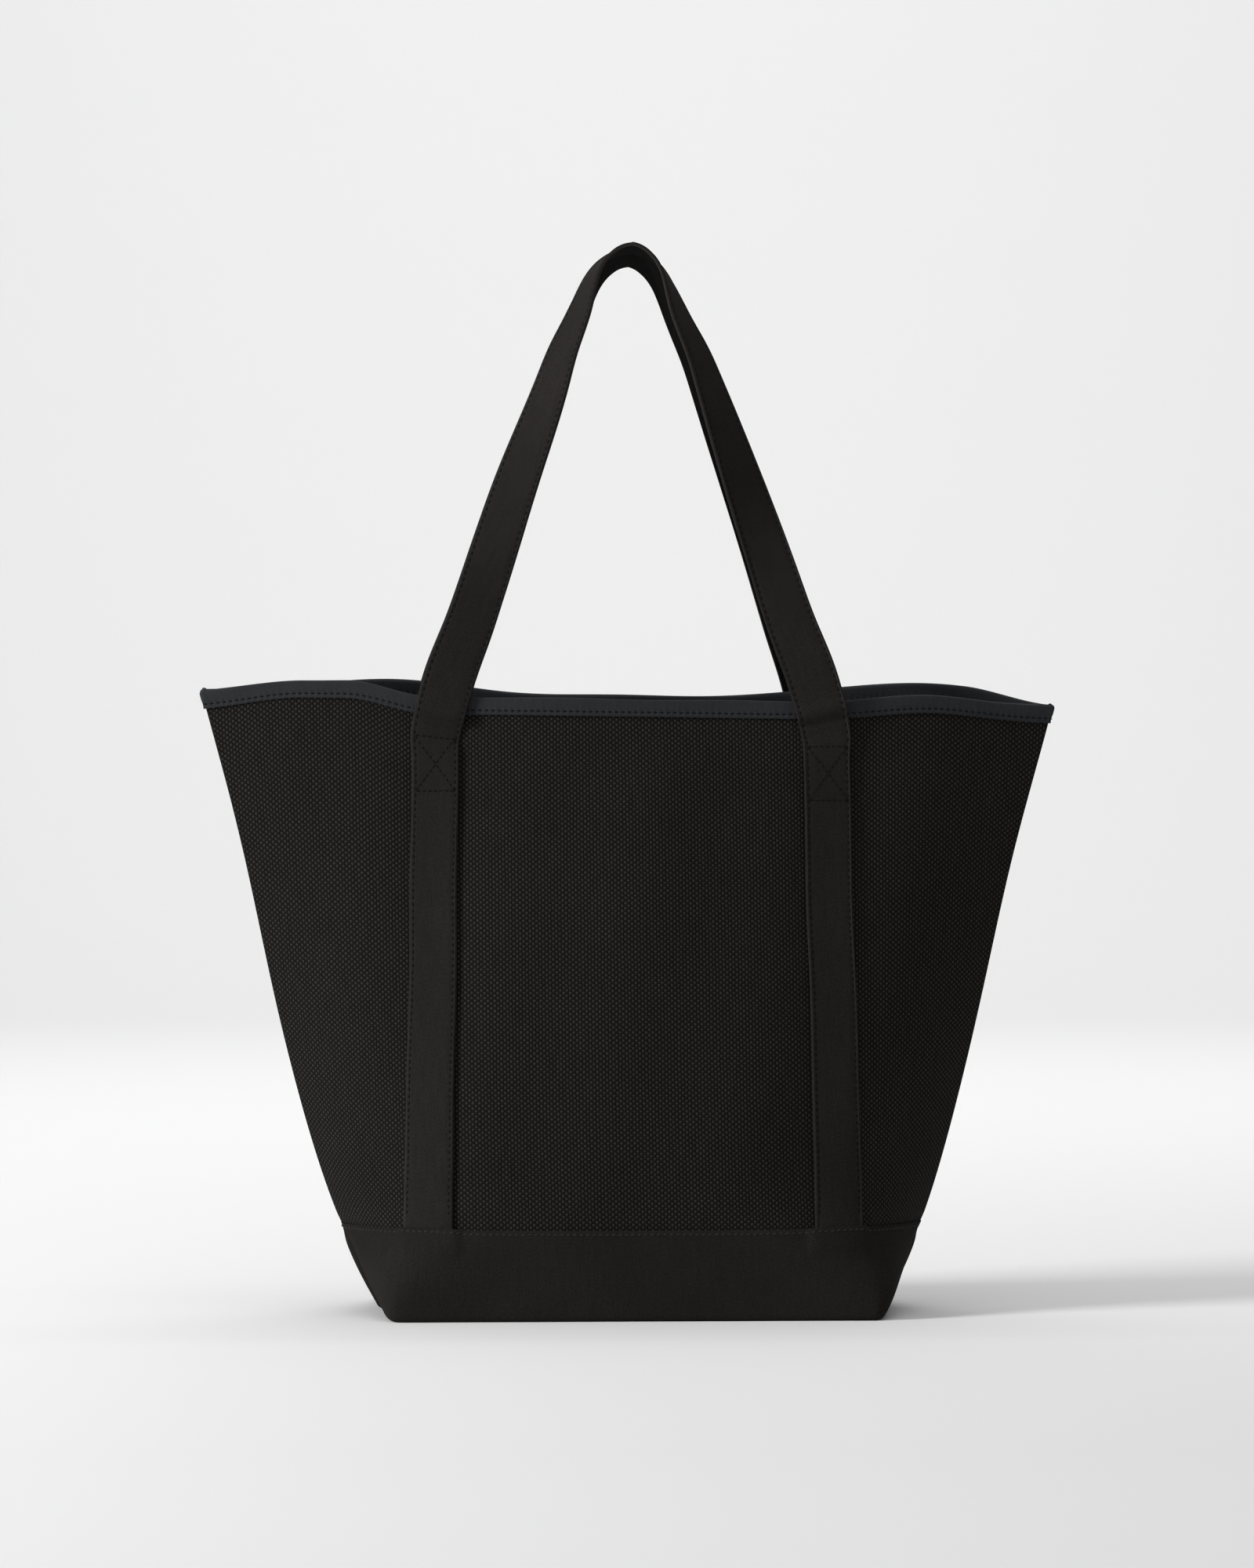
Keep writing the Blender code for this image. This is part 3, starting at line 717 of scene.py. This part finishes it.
STRAP_STAND = 0.0006        # back of a sewn leg off the canvas
HANDLE_TURN = math.radians(84)
HANDLE_TIP = {-1: math.radians(13), 1: math.radians(-8)}    # more turn right at the top
LEG_FLAT = 0.095            # of the free strap, that rises before it starts to turn
LEG_SPLAY = 0.0042
HINGE = strap_high[2]       # height of the line that the handles swing on
handle_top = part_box("front_handle")[1][2]
APEX = {-1: handle_top - 0.0041, 1: handle_top - 0.0068}
TOP_DEPTH = 0.0172          # of each loop's top from the middle of the bag
SEWN_EDGE = 0.0024          # of the stitch row from the edge of the strap
STRAP_STITCH = 0.0043       # from one stitch to the next
STRAP_STEP = 0.0009         # from one ring of the strap's surface to the next
KNOT_NEAR_TOP = 0.0116

strap_canvas = cloth_material(
    "strap_canvas", dark=(0.0091, 0.0081, 0.0076), light=(0.0296, 0.0267, 0.0253),
    warp_pitch=0.00062, weft_pitch=0.00055, relief=0.00014, roughness=1.0,
    shade=0.4, speckle=0.9, fold_every=0.0307, gloss=0.05, sheen=0.0)


def spline(knots, per_span):
    """Smooth line through the knots, with evenly spaced points."""
    knots = np.array(knots)
    padded = np.concatenate([[2 * knots[0] - knots[1]], knots, [2 * knots[-1] - knots[-2]]])
    t = np.linspace(0, 1, per_span, endpoint=False)[:, None]
    spans = []
    for a, b, c, d in zip(padded, padded[1:], padded[2:], padded[3:]):
        square = (2 * a - 5 * b + 4 * c - d) * t ** 2
        cube = (3 * b - a - 3 * c + d) * t ** 3
        spans.append(0.5 * (2 * b + (c - a) * t + square + cube))
    line = np.concatenate(spans + [knots[-1:]])
    gone = np.concatenate([[0], np.cumsum(np.linalg.norm(np.diff(line, axis=0), axis=1))])
    even = np.linspace(0, gone[-1], int(gone[-1] / STRAP_STEP))
    return np.stack([np.interp(even, gone, line[:, axis]) for axis in range(3)], axis=1), even


class HalfStrap:
    """Half of a strap, from its foot to the top of the loop.

    side is -1 at the front and 1 at the back, hand is -1 on the left and 1 on the right.
    """

    def __init__(self, side, hand):
        self.side = side
        self.hand = hand
        heights = np.linspace(BAND_TOP - STRAP_TUCK, HINGE, 14)
        columns = np.array([column_at(side, hand * self.middle(h), h) for h in heights])
        leg = on_wall(side, row_of(heights), columns, STRAP_STAND + STRAP_CLOTH / 2)
        leg[:, 2] = heights
        start = leg[-1]
        top_depth = TOP_DEPTH * side
        top = APEX[side]
        sideways = 0.0038 if side > 0 and hand > 0 else 0.0008 * hand
        # The middle line of the free loop, as distances from the middle of the bag and heights.
        loop = []
        for across, height in (
            (0.1137, 0.400), (0.0993, 0.438), (0.0836, 0.485), (0.0681, 0.532), (0.0516, 0.579),
            (0.0428, 0.6045), (0.0330, 0.6275), (0.0222, top - 0.0160), (KNOT_NEAR_TOP, top - 0.0040),
        ):
            share = (height - HINGE) / (top - HINGE)
            depth = start[1] + (top_depth - start[1]) * share ** 0.9
            lean = sideways * math.sin(math.pi * min(share * 1.2, 1))
            loop.append((hand * across + lean, depth, height))
        knots = list(leg) + loop + [(0.0, top_depth, top)]
        mirrored = (-hand * KNOT_NEAR_TOP, top_depth, loop[-1][2])
        line, run = spline(knots + [mirrored], 40)
        last = int(np.argmin(np.abs(line[:, 0])))
        self.line = line[:last + 1]
        self.line[-1, 0] = 0.0
        self.run = run[:last + 1]
        along = np.gradient(self.line, axis=0)
        along /= np.linalg.norm(along, axis=1, keepdims=True)
        along[-1] = (-hand, 0, 0)
        free = self.run - np.interp(HINGE, self.line[:last - 20, 2], self.run[:last - 20])
        length = free[-1]
        share = np.clip((free - LEG_FLAT) / (length - LEG_FLAT), 0, 1)
        turned = HANDLE_TURN * share ** (0.96 - 0.08 * hand) + HANDLE_TIP[side] * smooth(0.76, 1.0, share)
        front = np.zeros_like(along)
        front[:, 1] = side
        front -= along * np.sum(front * along, axis=1, keepdims=True)
        front /= np.linalg.norm(front, axis=1, keepdims=True)
        inward = np.cross(along, front)
        inward *= np.sign(np.sum(inward * [-hand, 0, -0.6], axis=1, keepdims=True))
        cos, sin = np.cos(turned)[:, None], np.sin(turned)[:, None]
        self.face = front * cos - inward * sin
        self.width = inward * cos + front * sin
        self.free = free
        self.sewn = smooth(HINGE + 0.002, HINGE - 0.016, self.line[:, 2]) * (free < 0.05)

    def middle(self, height):
        """Distance of the leg's middle from the middle of the bag: the legs splay a little downwards."""
        return STRAP_MIDDLE + LEG_SPLAY * smooth(0.38, 0.04, height)

    def at(self, across, lift):
        """Line of points along the strap, across from its middle and lifted from its back face."""
        crease = 0.0017 * bump(0.0085, 0.0026, self.free) - 0.0013 * bump(0.016, 0.0045, self.free)
        sag = 0.0006 * np.sin(self.run * 46.0 + self.hand) * smooth(0.02, 0.08, self.free)
        across = np.broadcast_to(across, self.run.shape)
        spread = across * (1 + 0.085 * bump(0.035, 0.045, self.free))
        stand = 0.0032 * smooth(0.0, 0.013, self.free) * (1 - smooth(0.025, 0.085, self.free))
        raised = lift - STRAP_CLOTH / 2 - crease + sag + stand
        loose = self.line + self.width * spread[:, None] + self.face * raised[:, None]
        low = self.sewn > 0
        heights = self.line[low, 2]
        run = self.run[low]
        wave = 0.0005 * np.sin(run * 41.0 + 2 * self.hand) * np.sin(run * 13.0 + self.side)
        columns = np.array([
            column_at(self.side, self.hand * (self.middle(h) - a + w), h)
            for h, a, w in zip(heights, across[low], wave)
        ])
        lifts = np.broadcast_to(lift, self.run.shape)[low]
        flat = on_wall(self.side, row_of(heights), columns, STRAP_STAND + lifts)
        flat[:, 2] += heights - on_wall(self.side, row_of(heights), columns)[:, 2]
        share = self.sewn[low][:, None]
        loose[low] = loose[low] * (1 - share) + flat * share
        return loose


def strap_section():
    """Places round the flat section of a strap: across from the middle, lift from the back."""
    half = STRAP_WIDTH / 2
    edge = 0.0010
    across = np.concatenate([
        np.array([-half + edge, -half + 0.0018, -half + SEWN_EDGE, -half + 0.0031, -half + 0.0045]),
        np.linspace(-0.007, 0.007, 5),
        np.array([half - 0.0045, half - 0.0031, half - SEWN_EDGE, half - 0.0018, half - edge]),
    ])
    corner = edge * math.cos(math.radians(45))
    front = [(a, STRAP_CLOTH) for a in across]
    right = [
        (half - edge + corner, STRAP_CLOTH - edge + corner),
        (half, STRAP_CLOTH / 2),
        (half - edge + corner, edge - corner),
    ]
    back = [(a, 0.0) for a in across[::-1]]
    left = [(-a, STRAP_CLOTH - lift) for a, lift in right]
    return front + right + back + left


HALVES = {(side, hand): HalfStrap(side, hand) for side in (-1, 1) for hand in (-1, 1)}


def needle_pull(half, across, lift):
    """How far the stitches pull the face of the strap in."""
    row = bump(STRAP_WIDTH / 2 - SEWN_EDGE, 0.0008, abs(across))
    stitch = 0.5 - 0.5 * np.cos((half.run - half.run[-1]) * 2 * math.pi / STRAP_STITCH)
    pull = row * (0.00018 + 0.00042 * stitch) - 0.00012 * bump(STRAP_WIDTH / 2 - 0.0011, 0.0006, abs(across))
    if lift >= STRAP_CLOTH:
        return -pull
    if lift <= 0:
        return pull
    return 0 * pull


for side, label in ((-1, "front"), (1, "back")):
    section = strap_section()
    section.append(section[0])
    lines = []
    for across, lift in section:
        left, right = HALVES[(side, -1)], HALVES[(side, 1)]
        up = left.at(across, lift + needle_pull(left, across, lift))
        down = right.at(across, lift + needle_pull(right, across, lift))[::-1]
        lines.append(np.concatenate([up, down[1:]]))
    points = np.stack(lines, axis=1)
    around = np.cumsum([0] + [math.hypot(b[0] - a[0], b[1] - a[1]) for a, b in zip(section, section[1:])])
    gone = np.concatenate([left.run, 2 * left.run[-1] - right.run[::-1][1:]])
    flat = np.stack(np.broadcast_arrays(around[None], gone[:, None]), axis=-1)
    strap = lay_cloth(label + "_strap", points, flat)
    close_ends(strap)
    bpy.ops.object.shade_smooth_by_angle(angle=math.radians(50))
    finish_cloth(strap, strap_canvas, "strap_canvas", None,
                 label + "_left_strap", label + "_right_strap", label + "_handle")
    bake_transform(strap)

# ---- Stitches -----------------------------------------------------------------------------
# Waxed thread, lockstitched: a row down each edge of the straps, one along the top of the band,
# one along each rim tape, and a box with a cross in it where each leg leaves the panel.

thread = bpy.data.materials.new("thread")
thread.use_nodes = True
thread_shader = thread.node_tree.nodes["Principled BSDF"]
thread_noise = thread.node_tree.nodes.new("ShaderNodeTexNoise")
thread_noise.inputs["Scale"].default_value = 900.0
thread_place = thread.node_tree.nodes.new("ShaderNodeTexCoord")
thread_ramp = thread.node_tree.nodes.new("ShaderNodeMix")
thread_ramp.data_type = "RGBA"
thread_ramp.inputs["A"].default_value = (0.0010, 0.0012, 0.0020, 1)
thread_ramp.inputs["B"].default_value = (0.0035, 0.0040, 0.0055, 1)
thread.node_tree.links.new(thread_place.outputs["Object"], thread_noise.inputs["Vector"])
thread.node_tree.links.new(thread_noise.outputs["Fac"], thread_ramp.inputs["Factor"])
thread.node_tree.links.new(thread_ramp.outputs["Result"], thread_shader.inputs["Base Color"])
thread_shader.inputs["Roughness"].default_value = 0.8
thread_shader.inputs["Specular IOR Level"].default_value = 0.15


def sew(name, places, alongs, ups, length, width, depth, material):
    """A row of stitches, each a small spindle of thread lying on the cloth."""
    bpy.ops.object.select_all(action="DESELECT")
    bpy.ops.mesh.primitive_uv_sphere_add(segments=6, ring_count=5, radius=1)
    row = bpy.context.object
    row.name = name
    row.data.name = name
    one = np.array([vertex.co for vertex in row.data.vertices])
    repeat = row.modifiers.new("row", "ARRAY")
    repeat.count = len(places)
    repeat.use_relative_offset = False
    repeat.use_constant_offset = True
    repeat.constant_offset_displace = (3, 0, 0)
    bpy.ops.object.modifier_apply(modifier="row")
    alongs = alongs / np.linalg.norm(alongs, axis=1, keepdims=True)
    ups = ups - alongs * np.sum(ups * alongs, axis=1, keepdims=True)
    ups = ups / np.linalg.norm(ups, axis=1, keepdims=True)
    sides = np.cross(ups, alongs)
    shaped = (places[:, None]
              + sides[:, None] * one[None, :, :1] * width / 2
              + ups[:, None] * one[None, :, 1:2] * depth / 2
              + alongs[:, None] * one[None, :, 2:] * length / 2)
    row.data.vertices.foreach_set("co", shaped.astype(np.float32).ravel())
    row.data.update()
    bpy.ops.object.shade_smooth()
    row.data.materials.clear()
    row.data.materials.append(material)
    return row


def along_line(line, run, stations):
    """Places and headings on a line of points at the given distances."""
    places = np.stack([np.interp(stations, run, line[:, axis]) for axis in range(3)], axis=1)
    ahead = np.stack([np.interp(stations + 0.0008, run, line[:, axis]) for axis in range(3)], axis=1)
    behind = np.stack([np.interp(stations - 0.0008, run, line[:, axis]) for axis in range(3)], axis=1)
    return places, ahead - behind


for side, label in ((-1, "front"), (1, "back")):
    places, alongs, ups = [], [], []
    for hand in (-1, 1):
        half = HALVES[(side, hand)]
        for edge in (-1, 1):
            across = edge * (STRAP_WIDTH / 2 - SEWN_EDGE)
            for lift, out in ((STRAP_CLOTH - 0.00030, 1), (0.00030, -1)):
                line = half.at(across, lift)
                first = BAND_TOP + 0.006 if out > 0 else HINGE + 0.004
                start = np.interp(first, half.line[:-30, 2], half.run[:-30])
                count = int((half.run[-1] - start) / STRAP_STITCH)
                stations = half.run[-1] - STRAP_STITCH * (np.arange(count) + 0.5)
                place, along = along_line(line, half.run, stations)
                core = along_line(half.at(across, STRAP_CLOTH / 2), half.run, stations)[0]
                places.append(place)
                alongs.append(along)
                ups.append(place - core)
    row = sew(label + "_strap_stitches", np.concatenate(places), np.concatenate(alongs), np.concatenate(ups),
              length=0.0025, width=0.0013, depth=0.0008, material=thread)
    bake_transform(row)

CROSS_HEIGHT = 0.034
THREAD_PROUD = 0.0001       # middle of a cross stitch above the strap
for side, label in ((-1, "front"), (1, "back")):
    for hand, which in ((-1, "left"), (1, "right")):
        half = HALVES[(side, hand)]
        cross_top = HINGE - 0.0015 - 0.003 * (1 + hand)
        ends = np.interp([cross_top - CROSS_HEIGHT, cross_top], half.line[:-30, 2], half.run[:-30])
        edge = STRAP_WIDTH / 2 - SEWN_EDGE
        places, alongs = [], []
        rail = np.linspace(-edge, edge, 9)
        rungs = [half.at(across, STRAP_CLOTH + THREAD_PROUD) for across in rail]
        for end in ends:
            line = np.array([along_line(rung, half.run, np.array([end]))[0][0] for rung in rungs])
            place, along = along_line(line, rail + edge, np.linspace(0.0018, 2 * edge - 0.0018, 7))
            places.append(place)
            alongs.append(along)
        for slant in (-1, 1):
            share = (half.run - ends[0]) / (ends[1] - ends[0])
            line = half.at(slant * edge * (2 * np.clip(share, 0, 1) - 1), STRAP_CLOTH + THREAD_PROUD)
            stations = np.linspace(ends[0] + 0.0012, ends[1] - 0.0012, 12)
            place, along = along_line(line, half.run, stations)
            places.append(place)
            alongs.append(along)
        places, alongs = np.concatenate(places), np.concatenate(alongs)
        facing = half.face[int(np.searchsorted(half.run, ends.mean()))]
        row = sew(label + "_" + which + "_cross", places, alongs, np.tile(facing, (len(places), 1)),
                  length=0.0025, width=0.0011, depth=0.0007, material=thread)
        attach(row, "bag")
        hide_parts(label + "_" + which + "_cross_stitch")

for side, label in ((-1, "front"), (1, "back")):
    rows = np.full(TAPE_SPOTS, row_of(CANVAS_TOP - TAPE_SEAM))
    line = on_wall(side, rows, tape_columns, TAPE_PROUD - 0.00015)
    core = on_wall(side, rows, tape_columns)
    stations = np.arange(tape_run[0] + 0.002, tape_run[-1] - 0.002, RIM_STITCH)
    place, along = along_line(line, tape_run, stations)
    row = sew(label + "_rim_stitches", place, along, place - along_line(core, tape_run, stations)[0],
              length=0.0026, width=0.0010, depth=0.0008, material=thread)
    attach(row, "bag")

BAND_SEAM = BAND_TOP - 0.0024
BAND_STITCH = 0.0040
band_seam_row = row_of(BAND_SEAM)
worn_thread = thread.copy()
worn_thread.name = "worn_thread"
worn_mix = next(node for node in worn_thread.node_tree.nodes if node.bl_idname == "ShaderNodeMix")
worn_mix.inputs["A"].default_value = (0.010, 0.010, 0.012, 1)
worn_mix.inputs["B"].default_value = (0.042, 0.042, 0.048, 1)
for side, label in ((-1, "front"), (1, "back")):
    columns = np.linspace(MIDDLE - SHARES + 1, MIDDLE + SHARES - 1, 500)
    run = cloth_length(np.full(len(columns), band_seam_row), columns)
    across = on_wall(side, band_seam_row, columns)[..., 0]
    lift = band_lift(across, BAND_SEAM)
    line = on_wall(side, band_seam_row, columns, lift + 0.00005)
    core = on_wall(side, band_seam_row, columns)
    stations = np.arange(run[0] + 0.002, run[-1] - 0.002, BAND_STITCH)
    place, along = along_line(line, run, stations)
    along = along + np.array([0, 0, 0.0005])
    row = sew(label + "_band_stitches", place, along, place - along_line(core, run, stations)[0],
              length=0.0026, width=0.0009, depth=0.0008, material=worn_thread)
    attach(row, "bag")
